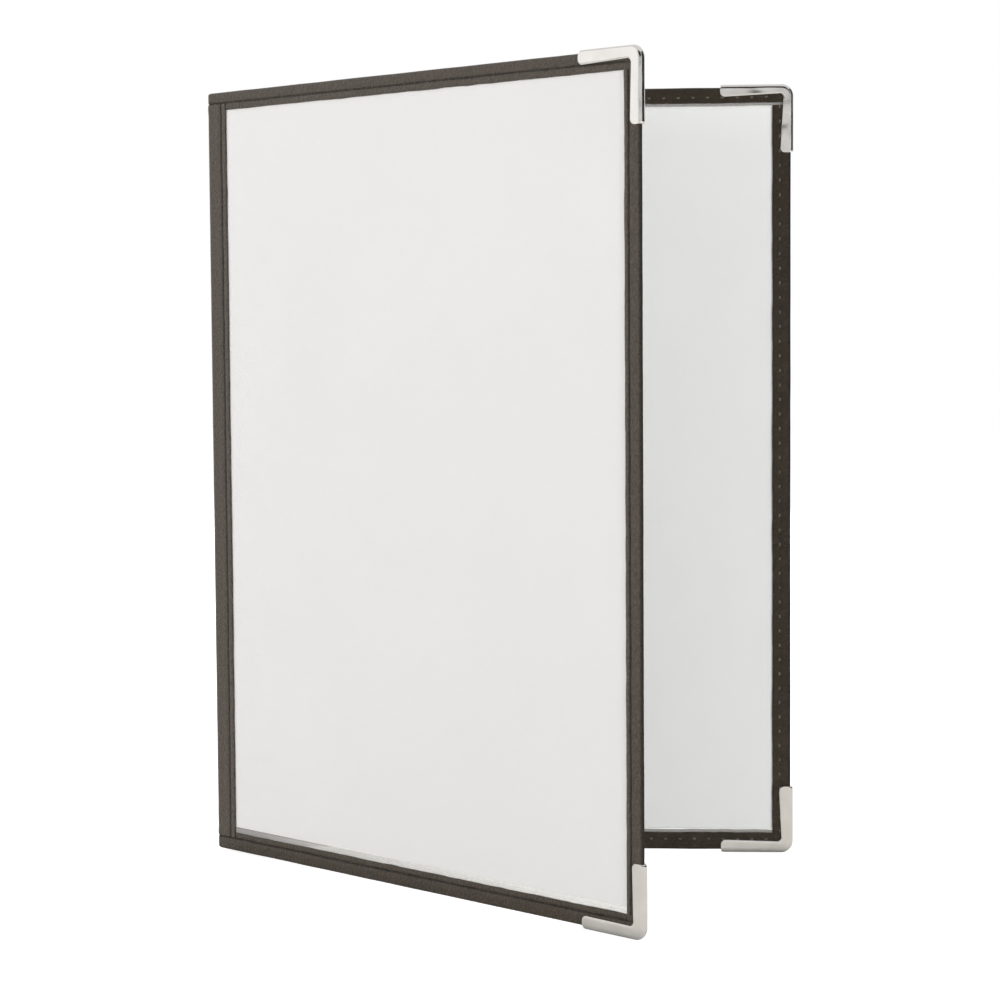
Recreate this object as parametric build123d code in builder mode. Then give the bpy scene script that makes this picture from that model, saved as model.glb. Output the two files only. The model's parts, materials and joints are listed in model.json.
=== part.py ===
"""Book-fold menu cover: two sewn vinyl pockets on one leatherette spine, with metal corners.

It stands opened on its bottom edges. The back panel runs along +X with its inside towards -Y, and the
front panel is swung towards -Y about the spine's upright axis. The origin is the middle of the footprint.
"""
import os
from collections import namedtuple
from math import cos, floor, radians, sin

from build123d import *

# Menu card, and the room that it has in its pocket
card_width = 215.9
card_height = 279.4
card_thickness = 0.3
card_play_in_height = 1.6
back_card_lift = 1.2
front_card_lift = 2.4
card_spine_margin = 0.6
card_seam_clearance = 0.5

# Clear vinyl sheets
vinyl_thickness = 0.25
vinyl_edge_clearance = 0.2

# Leatherette tape, folded round the top, the free side and the bottom
tape_width = 7.0
tape_thickness = 0.5
tape_corner_radius = 3.5
tape_edge_round = 0.7

# Leatherette spine
spine_wing_width = 7.8
spine_gap = 0.3

# Stitches, which lie in a pressed groove
back_stitch_inset = 2.8
front_stitch_inset = 2.0
spine_stitch_inset = 2.6
stitch_pitch = 5.6
outer_stitch_length = 4.6
inner_stitch_length = 0.9
thread_width = 0.5
thread_height = 0.3
groove_side_clearance = 0.2
groove_depth = 0.25

# Metal corners
corner_metal = 0.5
corner_leg_along_end = 28.0
corner_leg_along_side = 26.0
corner_end_flange_at_tip = 4.6
corner_end_flange_at_bend = 3.9
corner_side_flange_at_tip = 4.9
corner_side_flange_at_bend = 4.2
corner_bend_radius = 4.5
corner_inner_radius = 1.8
corner_tip_radius = 1.8
corner_heel_radius = 0.8
corner_edge_round = 1.3
corner_face_clearance = 0.1
corner_edge_clearance = 0.5

# How far the cover stands open, and the air between its corners when it is shut
opening_angle = 41.0
shut_gap = 0.3

# A cutting shape runs this far past the face that it opens
overcut = 1.0

# Worked out from the values above
back_stitch_line = tape_width - back_stitch_inset
front_stitch_line = tape_width - front_stitch_inset
seam_margin = card_seam_clearance + max(back_stitch_line, front_stitch_line)
panel_width = card_spine_margin + card_width + seam_margin
panel_height = card_height + card_play_in_height + 2 * tape_width
half_stack = card_thickness / 2 + vinyl_thickness
half_tape = half_stack + tape_thickness
half_cavity = half_tape + corner_face_clearance
half_corner = half_cavity + corner_metal
corner_proud = corner_edge_clearance + corner_metal
hinge_offset = half_corner + shut_gap / 2
fold_radius = hinge_offset + half_tape
groove_width = thread_width + 2 * groove_side_clearance
wing_stitch_line = spine_wing_width - spine_stitch_inset

# The spine's axis, placed so that the standing cover's footprint is centred on the origin
reach = panel_width + corner_proud
depth = hinge_offset + half_corner
swing = radians(opening_angle)
round_reach = (reach - corner_edge_round) * sin(swing) + (depth - corner_edge_round) * cos(swing)
hinge_x = (fold_radius - reach) / 2
hinge_y = (round_reach + corner_edge_round - depth) / 2
hinge_foot = Vector(hinge_x, hinge_y, corner_proud)

Panel = namedtuple("Panel", "name heading outward_side card_lift stitch_line")
back = Panel("back", 0.0, -1, back_card_lift, back_stitch_line)
front = Panel("front", opening_angle, 1, front_card_lift, front_stitch_line)


def panel_plane(panel, level):
    """A panel's plane at a level outward from its middle: x runs from spine to free edge, y runs up."""
    heading = radians(panel.heading)
    along = Vector(cos(heading), -sin(heading), 0)
    normal = along.cross(Vector(0, 0, 1))
    outward = normal * panel.outward_side
    return Plane(origin=hinge_foot + outward * (hinge_offset + level), x_dir=along, z_dir=normal)


def span(left, right, low, high):
    """A rectangle in the open sketch, given by its sides."""
    with Locations(((left + right) / 2, (low + high) / 2)):
        Rectangle(right - left, high - low)


def keep(builder, name):
    """Names a finished piece and writes it."""
    builder.part.label = name
    export_step(builder.part, f"parts/{name}.step")


def window_sheet(panel, name, level):
    """A clear vinyl sheet as large as the inside of the tapes, whose near face is at the level."""
    margin = tape_thickness + vinyl_edge_clearance
    with BuildPart() as sheet:
        with BuildSketch(panel_plane(panel, level)):
            span(spine_gap, panel_width - margin, margin, panel_height - margin)
            fillet(vertices().group_by(Axis.X)[-1], tape_corner_radius - margin)
        extrude(amount=panel.outward_side * vinyl_thickness)
    keep(sheet, f"{panel.name}_{name}")


def menu_card(panel):
    """The printed card between the two vinyl sheets, resting a little above the bottom tape."""
    left = card_spine_margin
    low = tape_width + panel.card_lift
    with BuildPart() as card:
        with BuildSketch(panel_plane(panel, -card_thickness / 2)):
            span(left, left + card_width, low, low + card_height)
        extrude(amount=panel.outward_side * card_thickness)
    keep(card, f"{panel.name}_menu_card")


def press_grooves(panel, faces):
    """Presses the stitch lines of a panel's three bound edges into the open part."""
    half_width = groove_width / 2
    side = panel_width - panel.stitch_line
    low = panel.stitch_line
    high = panel_height - panel.stitch_line
    for face in faces:
        with BuildSketch(panel_plane(panel, face * (half_tape - groove_depth))) as lines:
            for height in (low, high):
                span(-overcut, side + half_width, height - half_width, height + half_width)
            span(side - half_width, side + half_width, low, high)
        height_cut = panel.outward_side * face * (groove_depth + overcut)
        extrude(lines.sketch, amount=height_cut, mode=Mode.SUBTRACT)


def rounded_blank(panel, half, reach, end, inward, bend_radius, rounding):
    """Half a panel's outline as a slab with a bent and rounded outer edge, larger than what is cut from it."""
    far = end + inward * (panel_height / 2 + overcut)
    with BuildPart() as blank:
        with BuildSketch(panel_plane(panel, -half)):
            span(-overcut, reach, min(end, far), max(end, far))
            fillet(vertices().sort_by_distance((reach, end))[0], bend_radius)
        extrude(amount=panel.outward_side * 2 * half)
        fillet(edges().filter_by(GeomType.CIRCLE), min(rounding, 0.9 * half))
    return blank.part


def end_tape(panel, name, edge, inward):
    """Tape folded round the top or bottom edge, whose height is edge, and turned in at the free corner."""
    inner_edge = edge + inward * tape_width
    pocket = edge + inward * tape_thickness
    before = edge - inward * overcut
    with BuildPart() as tape:
        add(rounded_blank(panel, half_tape, panel_width, edge, inward, tape_corner_radius, tape_edge_round))
        with BuildSketch(panel_plane(panel, -half_tape)):
            span(spine_gap, panel_width + overcut, min(before, inner_edge), max(before, inner_edge))
        extrude(amount=panel.outward_side * 2 * half_tape, mode=Mode.INTERSECT)
        with BuildSketch(panel_plane(panel, -half_stack)):
            beyond = inner_edge + inward * overcut
            free_end = panel_width - tape_thickness
            span(-overcut, free_end, min(pocket, beyond), max(pocket, beyond))
            fillet(vertices().sort_by_distance((free_end, pocket))[0], tape_corner_radius - tape_thickness)
        extrude(amount=panel.outward_side * 2 * half_stack, mode=Mode.SUBTRACT)
        press_grooves(panel, (1, -1))
    keep(tape, f"{panel.name}_{name}_tape")


def side_tape(panel):
    """Tape folded round the free edge, between the top tape and the bottom tape."""
    inner_edge = panel_width - tape_width
    with BuildPart() as tape:
        with BuildSketch(panel_plane(panel, -half_tape)):
            span(inner_edge, panel_width, tape_width, panel_height - tape_width)
        extrude(amount=panel.outward_side * 2 * half_tape)
        free_edge = panel_plane(panel, 0).from_local_coords(Vector(panel_width, panel_height / 2, 0))
        free_edges = edges().filter_by(Axis.Z).sort_by_distance(free_edge)[:2]
        fillet(free_edges, min(tape_edge_round, 0.9 * half_tape))
        with BuildSketch(panel_plane(panel, -half_stack)):
            span(inner_edge - overcut, panel_width - tape_thickness, 0, panel_height)
        extrude(amount=panel.outward_side * 2 * half_stack, mode=Mode.SUBTRACT)
        press_grooves(panel, (1, -1))
    keep(tape, f"{panel.name}_side_tape")


def spine_wing(panel):
    """The strip of the spine that is sewn to the outer face of a panel."""
    half_width = groove_width / 2
    with BuildPart() as wing:
        with BuildSketch(panel_plane(panel, half_stack)):
            span(spine_gap, spine_wing_width, tape_width, panel_height - tape_width)
        extrude(amount=panel.outward_side * tape_thickness)
        with BuildSketch(panel_plane(panel, half_tape - groove_depth)):
            span(wing_stitch_line - half_width, wing_stitch_line + half_width, 0, panel_height)
        extrude(amount=panel.outward_side * (groove_depth + overcut), mode=Mode.SUBTRACT)
    keep(wing, f"{panel.name}_spine_wing")


def stitch_row(panel, name, face, centre, run, length, upright):
    """Separate stitches of one seam, evenly spaced about its middle, on the floor of the groove."""
    count = floor(run / stitch_pitch)
    with BuildPart() as row:
        with BuildSketch(panel_plane(panel, face * (half_tape - groove_depth))):
            with Locations(centre):
                if upright:
                    with GridLocations(stitch_pitch, stitch_pitch, 1, count):
                        Rectangle(thread_width, length)
                else:
                    with GridLocations(stitch_pitch, stitch_pitch, count, 1):
                        Rectangle(length, thread_width)
        extrude(amount=panel.outward_side * face * thread_height)
    keep(row, f"{panel.name}_{name}_stitches")


def edge_stitches(panel, face_name, face, length):
    """The three bound edges' rows of stitches on one face of a panel."""
    side = panel_width - panel.stitch_line
    end_run = side - spine_gap
    end_middle = spine_gap + end_run / 2
    side_run = panel_height - 2 * panel.stitch_line - thread_width
    top = (end_middle, panel_height - panel.stitch_line)
    bottom = (end_middle, panel.stitch_line)
    stitch_row(panel, f"top_{face_name}", face, top, end_run, length, False)
    stitch_row(panel, f"bottom_{face_name}", face, bottom, end_run, length, False)
    stitch_row(panel, f"side_{face_name}", face, (side, panel_height / 2), side_run, length, True)


def spine_stitches(panel):
    """The row of stitches that holds the spine wing to the outer vinyl sheet."""
    centre = (wing_stitch_line, panel_height / 2)
    run = panel_height - 2 * tape_width
    stitch_row(panel, "spine", 1, centre, run, outer_stitch_length, True)


def metal_corner(panel, name, edge, inward):
    """A pressed metal corner: an L of two flanges joined by a rounded web along the outer edge."""
    side = panel_width + corner_proud
    end = edge - inward * corner_proud
    outer = (side, end)
    tip_along_end = (side - corner_leg_along_end, end + inward * corner_end_flange_at_tip)
    heel_along_end = (side - corner_leg_along_end, end)
    bend = (side - corner_side_flange_at_bend, end + inward * corner_end_flange_at_bend)
    tip_along_side = (side - corner_side_flange_at_tip, end + inward * corner_leg_along_side)
    heel_along_side = (side, end + inward * corner_leg_along_side)
    with BuildPart() as corner:
        add(rounded_blank(panel, half_corner, side, end, inward, corner_bend_radius, corner_edge_round))
        with BuildSketch(panel_plane(panel, -half_corner)):
            with BuildLine():
                Polyline(outer, heel_along_end, tip_along_end, bend, tip_along_side, heel_along_side, close=True)
            make_face()
            fillet(vertices().sort_by_distance(bend)[0], corner_inner_radius)
            for tip in (tip_along_end, tip_along_side):
                fillet(vertices().sort_by_distance(tip)[0], corner_tip_radius)
            for heel in (heel_along_end, heel_along_side):
                fillet(vertices().sort_by_distance(heel)[0], corner_heel_radius)
        extrude(amount=panel.outward_side * 2 * half_corner, mode=Mode.INTERSECT)
        cavity_side = side - corner_metal
        cavity_end = end + inward * corner_metal
        cavity_bend = corner_bend_radius - corner_metal
        cavity_round = corner_edge_round - corner_metal
        cavity = rounded_blank(panel, half_cavity, cavity_side, cavity_end, inward, cavity_bend, cavity_round)
        add(cavity, mode=Mode.SUBTRACT)
    keep(corner, f"{panel.name}_{name}_corner")


def make_panel(panel):
    """All the pieces of one panel."""
    window_sheet(panel, "outer_window", card_thickness / 2)
    window_sheet(panel, "inner_window", -half_stack)
    menu_card(panel)
    side_tape(panel)
    spine_wing(panel)
    for name, edge, inward in (("top", panel_height, -1), ("bottom", 0.0, 1)):
        end_tape(panel, name, edge, inward)
        metal_corner(panel, name, edge, inward)
    edge_stitches(panel, "outer", 1, outer_stitch_length)
    edge_stitches(panel, "inner", -1, inner_stitch_length)
    spine_stitches(panel)


def fold_plane():
    """The upright plane through the spine's axis, square to the back panel: x runs outward, y runs up."""
    return Plane(origin=hinge_foot, x_dir=(0, 1, 0), z_dir=(1, 0, 0))


def spine_fold():
    """The stretch of the spine strip that wraps from the back panel round to the front panel."""
    with BuildPart() as fold:
        with BuildSketch(fold_plane()):
            span(fold_radius - tape_thickness, fold_radius, tape_width, panel_height - tape_width)
        revolve(axis=Axis(hinge_foot, (0, 0, 1)), revolution_arc=180 - opening_angle)
    keep(fold, "spine_fold")


def tape_fold(name, edge, inward):
    """The stretch of the top or bottom tape that wraps round the end of the spine."""
    inner_edge = edge + inward * tape_width
    pocket = edge + inward * tape_thickness
    with BuildPart() as fold:
        with BuildSketch(fold_plane()):
            span(hinge_offset - half_tape, fold_radius, min(edge, inner_edge), max(edge, inner_edge))
            outer_edges = vertices().sort_by_distance((hinge_offset, edge))[:2]
            fillet(outer_edges, min(tape_edge_round, 0.9 * half_tape))
            with Locations((hinge_offset, (pocket + inner_edge) / 2)):
                Rectangle(2 * half_stack, abs(inner_edge - pocket), mode=Mode.SUBTRACT)
        revolve(axis=Axis(hinge_foot, (0, 0, 1)), revolution_arc=180 - opening_angle)
    keep(fold, f"{name}_tape_fold")


os.makedirs("parts", exist_ok=True)
make_panel(back)
make_panel(front)
spine_fold()
tape_fold("top", panel_height, -1)
tape_fold("bottom", 0.0, 1)

print("spine axis at", round(hinge_x, 4), round(hinge_y, 4))
print("panel from axis to free edge", round(panel_width, 2), "and tape to tape", round(panel_height, 2))
print("corners stand", corner_proud, "mm proud and are", 2 * half_corner, "mm thick")
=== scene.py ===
# %% [markdown]
# # A book-fold menu cover, dressed
#
# The cover is two pockets of clear vinyl, each bound on three sides by a folded leatherette tape, with a
# pressed metal corner at each free corner. A leatherette strip joins the two panels and works as the hinge.
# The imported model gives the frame: where the hinge is, how far the cover stands open, and each solid's place.
# This lesson builds what a buyer would see on top of it, piece by piece.

import json
import math

import bmesh
import bpy
import numpy as np
from mathutils import Matrix, Vector


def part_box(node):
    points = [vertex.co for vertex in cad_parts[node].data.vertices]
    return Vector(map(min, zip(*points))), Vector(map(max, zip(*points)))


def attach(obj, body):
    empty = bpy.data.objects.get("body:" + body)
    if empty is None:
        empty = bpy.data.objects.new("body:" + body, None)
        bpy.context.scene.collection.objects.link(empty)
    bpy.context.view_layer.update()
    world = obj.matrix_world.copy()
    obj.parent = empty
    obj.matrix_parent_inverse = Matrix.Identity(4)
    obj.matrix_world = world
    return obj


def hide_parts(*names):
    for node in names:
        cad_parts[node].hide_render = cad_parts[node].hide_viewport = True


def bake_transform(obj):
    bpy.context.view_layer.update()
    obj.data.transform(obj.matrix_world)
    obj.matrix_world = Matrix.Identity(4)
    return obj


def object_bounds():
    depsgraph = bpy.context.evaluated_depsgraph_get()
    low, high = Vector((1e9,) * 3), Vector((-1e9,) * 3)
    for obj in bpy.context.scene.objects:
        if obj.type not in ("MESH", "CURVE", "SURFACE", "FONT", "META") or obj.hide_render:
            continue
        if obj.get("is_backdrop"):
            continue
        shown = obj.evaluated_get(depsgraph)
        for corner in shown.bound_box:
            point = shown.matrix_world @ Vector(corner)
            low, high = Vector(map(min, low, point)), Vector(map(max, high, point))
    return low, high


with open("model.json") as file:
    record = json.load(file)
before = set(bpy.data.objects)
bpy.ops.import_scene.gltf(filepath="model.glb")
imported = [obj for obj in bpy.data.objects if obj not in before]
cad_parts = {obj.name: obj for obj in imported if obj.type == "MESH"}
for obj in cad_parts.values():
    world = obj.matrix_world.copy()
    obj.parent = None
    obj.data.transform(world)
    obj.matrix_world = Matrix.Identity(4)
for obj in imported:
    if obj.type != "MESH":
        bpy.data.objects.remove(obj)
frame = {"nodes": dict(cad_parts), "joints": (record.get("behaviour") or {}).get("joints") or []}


def as_list(box):
    """A box as plain numbers."""
    return [[float(v) for v in corner] for corner in box]


cad_box = as_list(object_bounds())
print("CAD box in mm", [[round(1000 * v, 1) for v in corner] for corner in cad_box])

# %% [markdown]
# ## Where things are on a panel
#
# Both panels are the same flat thing, turned about the hinge. It is easiest to think of a panel lying on its
# own: s runs from the spine to the free edge, z runs up, and n runs outward, all in millimetres. The hinge
# line and the opening angle come from the joint, so the scene follows the model if it is opened differently.
# The metal corners stand proud of the tapes, so they lift the panels off the table by that much.

# %% Panel coordinates
MM = 0.001
hinge = frame["joints"][0]
hinge_x, hinge_y = hinge["pos_m"][0] / MM, hinge["pos_m"][1] / MM
opening = math.radians(-hinge["range_deg"][0])
proud = 1.0

panels = {
    "back": {"along": (1.0, 0.0), "out": (0.0, 1.0), "body": "back_panel"},
    "front": {
        "along": (math.cos(opening), -math.sin(opening)),
        "out": (-math.sin(opening), -math.cos(opening)),
        "body": "front_panel",
    },
}


def place(panel, s, n, z):
    """Points of a panel in metres, from s, n and z in millimetres."""
    s, n, z = np.broadcast_arrays(np.asarray(s, float), np.asarray(n, float), np.asarray(z, float))
    along, out = panels[panel]["along"], panels[panel]["out"]
    x = hinge_x + s * along[0] + n * out[0]
    y = hinge_y + s * along[1] + n * out[1]
    return np.stack([x, y, z + proud], -1) * MM


print("hinge at", round(hinge_x, 2), round(hinge_y, 2), "mm")
print("opened by", round(math.degrees(opening), 1), "degrees")

# %% [markdown]
# ## Sizes
#
# A sheet of Letter size sets everything else: the pocket is as wide and as high as the sheet with a little
# room to slide it in, and the tape's width is what covers the pocket's edge. The levels are counted from the
# hinge outward, because the two panels lie against each other there when the cover is shut. Inside the tapes
# lies a stack of two sheets of vinyl with the card between them. The strip of the spine has a wing on each
# panel, and the front one is a little wider, as hand work is.

# %% The cover's sizes in millimetres
panel_width = 222.0
panel_height = 295.0
tape_width = 7.0
tape_thick = 0.5
inner_level = 0.75
outer_level = 2.55
middle = (inner_level + outer_level) / 2
half_tape = middle - inner_level
half_stack = 0.4
wing_width = {"back": 7.8, "front": 9.2}
strip_end = {"top": 4.55, "bottom": 5.3}
print("tape from", inner_level, "to", outer_level, "mm off the hinge plane, middle at", middle)

# %% [markdown]
# ## Seams
#
# One lockstitch machine sews every seam, so the pitch is the same all round. The distance from the edge
# differs from seam to seam by some tenths of a millimetre, because the tape is fed by hand. A seam's stitches
# are spread evenly about its middle, and the needle holes lie half a stitch off them.

# %% Seams, in millimetres from the panel's edge or, on a wing, from the spine
stitch_pitch = 5.6
seam_start = 0.3
stitch_line = {
    "back": {"top": 4.2, "bottom": 4.2, "side": 4.2},
    "front": {"top": 4.2, "bottom": 4.9, "side": 5.0},
}
wing_line = {"back": 5.2, "front": 6.6}


def end_seam(panel):
    """Where the seam along a panel's top or bottom starts, and how long it is."""
    return seam_start, panel_width - stitch_line[panel]["side"] - seam_start


def side_seam(panel):
    """Where the seam along a panel's free side starts, and how long it is."""
    run = panel_height - 2 * stitch_line[panel]["side"] - 0.5
    return panel_height / 2 - run / 2, run


def wing_seam():
    """Where the seam of a spine wing starts, and how long it is."""
    return tape_width, panel_height - 2 * tape_width


def stitch_middles(start, run):
    """The middles of the stitches of a seam."""
    count = int(run // stitch_pitch)
    return start + run / 2 + stitch_pitch * (np.arange(count) - (count - 1) / 2)


def needle_holes(start, run):
    """The needle holes of a seam, half a stitch off the stitches' middles."""
    count = int(run // stitch_pitch)
    first = start + run / 2 - (count - 1) / 2 * stitch_pitch
    return first + stitch_pitch * (np.arange(count + 1) - 0.5)


for panel in panels:
    counts = [len(stitch_middles(*seam)) for seam in (end_seam(panel), side_seam(panel), wing_seam())]
    print(panel, "panel: stitches along an end, the side and the wing", counts)

# %% [markdown]
# ## Meshes from rows of points
#
# Nearly every piece here is a long strip with one cross-section, so one helper joins rings of points into a
# closed skin, closes its two ends, and turns its faces outward by the sign of its volume. Edges sharper than
# about forty degrees stay sharp, and the rest shade smooth. A second helper gives the slow random drift of
# anything made by hand, always the same for the same seed.

# %% Helpers for meshes
drift_values = 1024
drift_start = 17.3


def wave(u, step, seed):
    """A smooth random wave between -1 and 1 along u, with a new value each step."""
    values = np.random.default_rng(seed).uniform(-1, 1, drift_values)
    t = np.asarray(u, float) / step + drift_start
    i = np.floor(t).astype(int)
    f = t - i
    f = f * f * (3 - 2 * f)
    return values[i % drift_values] * (1 - f) + values[(i + 1) % drift_values] * f


def hump(x, centre, width):
    """A smooth bump of height 1 at the centre."""
    return np.exp(-(((x - centre) / width) ** 2))


def new_piece(name, points, faces, sharp=40.0, **attributes):
    """A mesh object at the origin, its faces outward, with one number per point for each attribute."""
    points = np.asarray(points, float).reshape(-1, 3)
    corner = np.array([(f[0], f[k], f[k + 1]) for f in faces for k in range(1, len(f) - 1)])
    a, b, c = points[corner[:, 0]], points[corner[:, 1]], points[corner[:, 2]]
    if np.einsum("ij,ij->i", a, np.cross(b, c)).sum() < 0:
        faces = [tuple(reversed(f)) for f in faces]
    mesh = bpy.data.meshes.new(name)
    mesh.from_pydata(points.tolist(), [], faces)
    for key, values in attributes.items():
        layer = mesh.attributes.new(key, "FLOAT", "POINT")
        layer.data.foreach_set("value", np.asarray(values, np.float32).ravel())
    work = bmesh.new()
    work.from_mesh(mesh)
    for face in work.faces:
        face.smooth = True
    for edge in work.edges:
        edge.smooth = len(edge.link_faces) == 2 and edge.calc_face_angle(0.0) < math.radians(sharp)
    work.to_mesh(mesh)
    work.free()
    piece = bpy.data.objects.new(name, mesh)
    bpy.context.scene.collection.objects.link(piece)
    return piece


def ring_faces(rings, size):
    """Quads of a skin through rings of the same size, and a cap at each end."""
    faces = []
    for i in range(rings - 1):
        for j in range(size):
            k = (j + 1) % size
            faces.append((i * size + j, i * size + k, (i + 1) * size + k, (i + 1) * size + j))
    faces.append(tuple(range(size - 1, -1, -1)))
    faces.append(tuple((rings - 1) * size + j for j in range(size)))
    return faces


def triangles(piece):
    """How many triangles a piece has."""
    return sum(len(p.vertices) - 2 for p in piece.data.polygons)


print("a drift with a new value each 9 mm, at 0, 4.5 and 9 mm:", wave([0, 4.5, 9], 9.0, 10).round(2))

# %% [markdown]
# ## Node helpers
#
# Every material here is a small tree of nodes, written out in code. One helper adds a node and fills or links
# its inputs, and the others name what is used again and again: a noise, a ramp, a bump, a mix and a sum. All
# patterns read Object coordinates, which are in metres, so a grain has its real size on every piece.

# %% Node helpers


def node_adder(tree):
    """A function that adds a node to the tree and sets its inputs, to a value or from another node."""

    def add(kind, inputs=None, **settings):
        node = tree.nodes.new(kind)
        for key, value in settings.items():
            setattr(node, key, value)
        for key, value in (inputs or {}).items():
            if isinstance(value, bpy.types.NodeSocket):
                tree.links.new(value, node.inputs[key])
            else:
                node.inputs[key].default_value = value
        return node

    return add


def node_material(name):
    """A material with an empty tree, and the function that adds nodes to it."""
    material = bpy.data.materials.new(name)
    material.use_nodes = True
    material.node_tree.nodes.clear()
    return material, node_adder(material.node_tree)


def object_place(add):
    """The place of what is shaded, in its object's own metres."""
    return add("ShaderNodeTexCoord").outputs["Object"]


def attribute(add, name):
    """A number that the piece's mesh carries at each of its points."""
    return add("ShaderNodeAttribute", attribute_name=name).outputs["Fac"]


def noise(add, spot, scale, detail, roughness=0.5):
    """A smooth random value between 0 and 1."""
    inputs = {"Vector": spot, "Scale": scale, "Detail": detail, "Roughness": roughness}
    return add("ShaderNodeTexNoise", inputs).outputs["Fac"]


def ramp(add, value, low, high):
    """A colour that follows a value between two stops, or a grey where the stops have one number each."""
    node = add("ShaderNodeValToRGB", {"Fac": value})
    for element, (position, *colour) in zip(node.color_ramp.elements, (low, high)):
        element.position = position
        element.color = (*colour, 1.0) if len(colour) == 3 else (*colour * 3, 1.0)
    return node.outputs["Color"]


def bump(add, height, strength, distance, under=None, invert=False):
    """A relief in metres, on top of another one if that is given."""
    inputs = {"Height": height, "Strength": strength, "Distance": distance}
    if under is not None:
        inputs["Normal"] = under
    return add("ShaderNodeBump", inputs, invert=invert).outputs["Normal"]


def maths(add, operation, a, b=0.0):
    """The result of an operation on one or two numbers."""
    return add("ShaderNodeMath", {0: a, 1: b}, operation=operation).outputs[0]


def mix_colours(add, share, a, b, mode="MIX"):
    """A colour between two others, or another blend of them."""
    return add("ShaderNodeMix", {0: share, 6: a, 7: b}, data_type="RGBA", blend_type=mode).outputs[2]


def finish_material(material, add, shader):
    """Puts the shader on the surface."""
    add("ShaderNodeOutputMaterial", {"Surface": shader.outputs[0]})
    print(material.name, "has", len(material.node_tree.nodes), "nodes")
    return material


print("materials so far:", len(bpy.data.materials))

# %% [markdown]
# ## Leatherette
#
# The tape is leatherette: a woven base with a skin of plastic that is embossed with a fine pebble grain. The
# grain is a cell pattern pressed by rollers, so its cells are all about the same size, and the finish is
# half matt. Where the tape is folded or pressed, the skin stretches and shows a little lighter. The outer
# face is painted lighter, a painted sheen, with a painted highlight beside each seam, and the inner face is
# painted darker, a painted shade. In the seam's groove a painted shade makes it darker, and it is dull there.
# The meshes carry two numbers for this, one for the lighter tone and sheen and one for the shade, and the
# material only reads them, so a seam's painted shade always lies where its groove is.

# %% Leatherette
dark_brown, light_brown = (0.0130, 0.0091, 0.0056), (0.030, 0.0218, 0.0136)
painted_shade_brown, worn_brown = (0.0035, 0.0025, 0.0018, 1.0), (0.105, 0.090, 0.080, 1.0)
pebble_scale, crease_scale, patch_scale = 1150.0, 900.0, 60.0


def leatherette_material():
    """Pebbled brown plastic skin, lighter by painted sheen and its lighter folds, darker by painted shade."""
    material, add = node_material("leatherette")
    spot = object_place(add)
    worn, sunk = attribute(add, "worn"), attribute(add, "sunk")
    pebbles = add("ShaderNodeTexVoronoi", {"Vector": spot, "Scale": pebble_scale, "Smoothness": 0.6},
                  feature="SMOOTH_F1")
    creases = noise(add, spot, crease_scale, 5.0, 0.62)
    patches = noise(add, spot, patch_scale, 3.0)

    tone = ramp(add, creases, (0.30, *dark_brown), (0.70, *light_brown))
    tone = mix_colours(add, 1.0, tone, ramp(add, patches, (0.3, 0.80), (0.7, 1.16)), "MULTIPLY")
    # Painted shade: dark brown in the groove, on the side tape's fold and on the inner faces.
    tone = mix_colours(add, sunk, tone, painted_shade_brown)
    # Painted sheen on the outer faces and a painted highlight beside the seams, with lighter folds and streaks.
    rub_and_sheen_share = maths(add, "MULTIPLY", worn, ramp(add, creases, (0.35, 0.25), (0.75, 1.0)))
    tone = mix_colours(add, rub_and_sheen_share, tone, worn_brown)

    satin = ramp(add, patches, (0.3, 0.36), (0.7, 0.44))
    rough = add("ShaderNodeMix", {0: sunk, 2: satin, 3: 0.8}).outputs[0]
    relief = bump(add, pebbles.outputs["Distance"], 0.5, 0.0005, invert=True)
    relief = bump(add, creases, 0.5, 0.00025, relief)
    shader = add("ShaderNodeBsdfPrincipled", {
        "Base Color": tone, "Roughness": rough, "Normal": relief,
        "Specular IOR Level": 0.5, "Specular Tint": (1.0, 0.90, 0.78, 1.0),
    })
    return finish_material(material, add, shader)


leatherette = leatherette_material()

# %% [markdown]
# ## Clear vinyl
#
# The vinyl lets nearly everything through and only adds a soft gloss, more at a slant, on its outer side. A
# glass material would bend the light and make the paper behind it dark and slow to render, so a plain
# transparent shader does the work. Round the card's edge the two sheets touch each other, and there old vinyl
# turns milky. The meshes say where, and how much: hazy is where the sheets touch, clouded is the share of
# milk, and a third number says how light the milk is painted. Less light gets to it towards the spine, so
# there its colour is darker by a painted shade.

# %% Clear vinyl


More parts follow.
